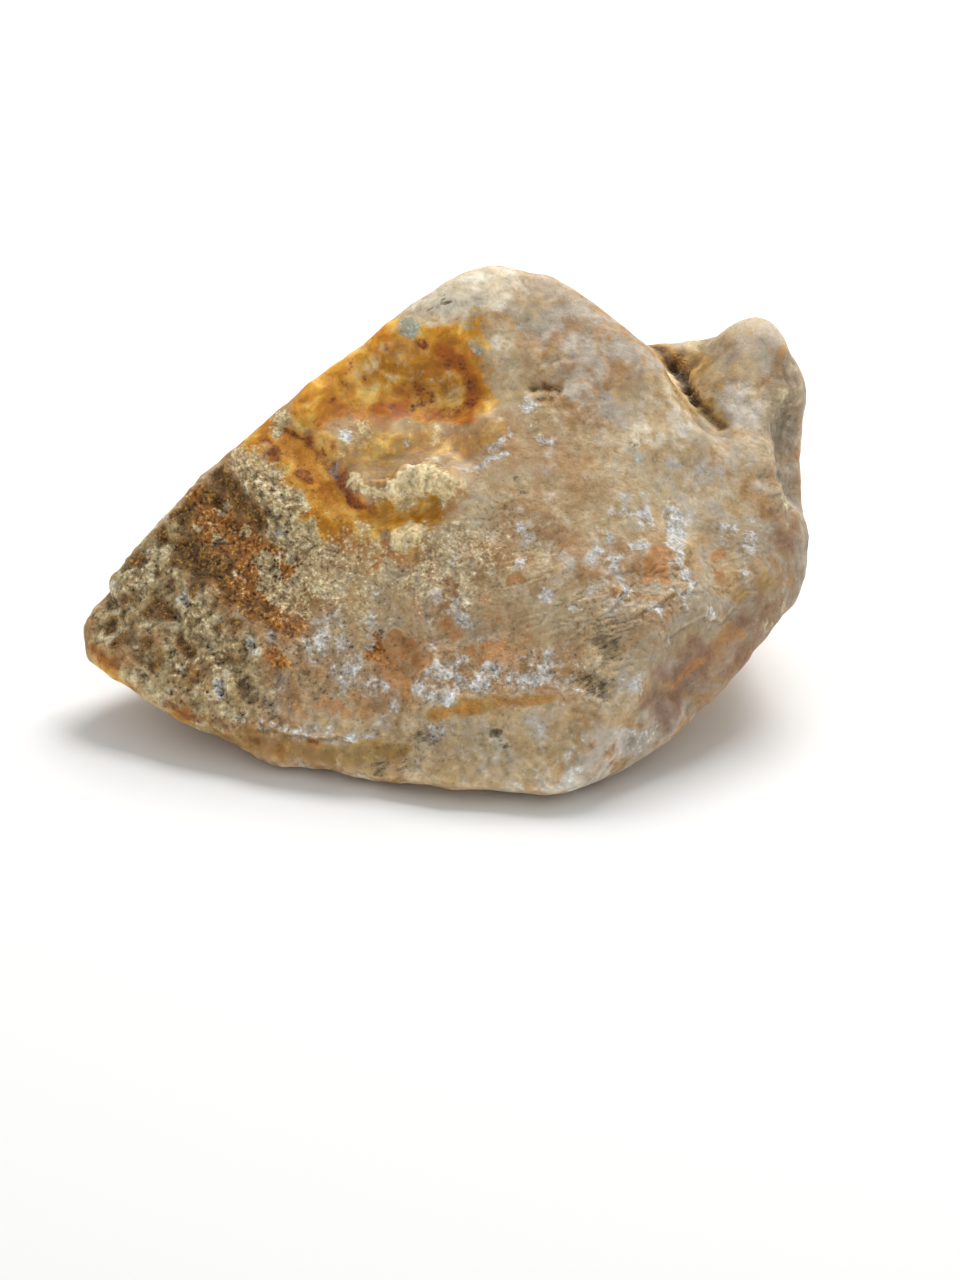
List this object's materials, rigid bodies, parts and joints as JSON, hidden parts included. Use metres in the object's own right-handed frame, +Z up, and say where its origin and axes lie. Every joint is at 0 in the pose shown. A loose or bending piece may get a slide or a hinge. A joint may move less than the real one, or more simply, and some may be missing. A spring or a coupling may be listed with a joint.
{
  "type": "aragonite specimen",
  "caption": "Rough hand specimen of massive aragonite with a broad sloping broken face, a pointed end and a knob behind a crack at the other end.",
  "frame": {"origin": "middle of the bounding box at the level of the flat broken underside on which the stone rests", "axes": "+X along the long side, from the pointed end towards the end with the knob; -Y out of the broad sloping broken face; +Z up"},
  "size_m": [0.098, 0.066, 0.056],
  "materials": {
    "aragonite": "rough broken carbonate, waxy where it is honey-coloured, chalky where it is white"
  },
  "bodies": {
    "root": {"aragonite_block": "aragonite"}
  },
  "joints": []
}
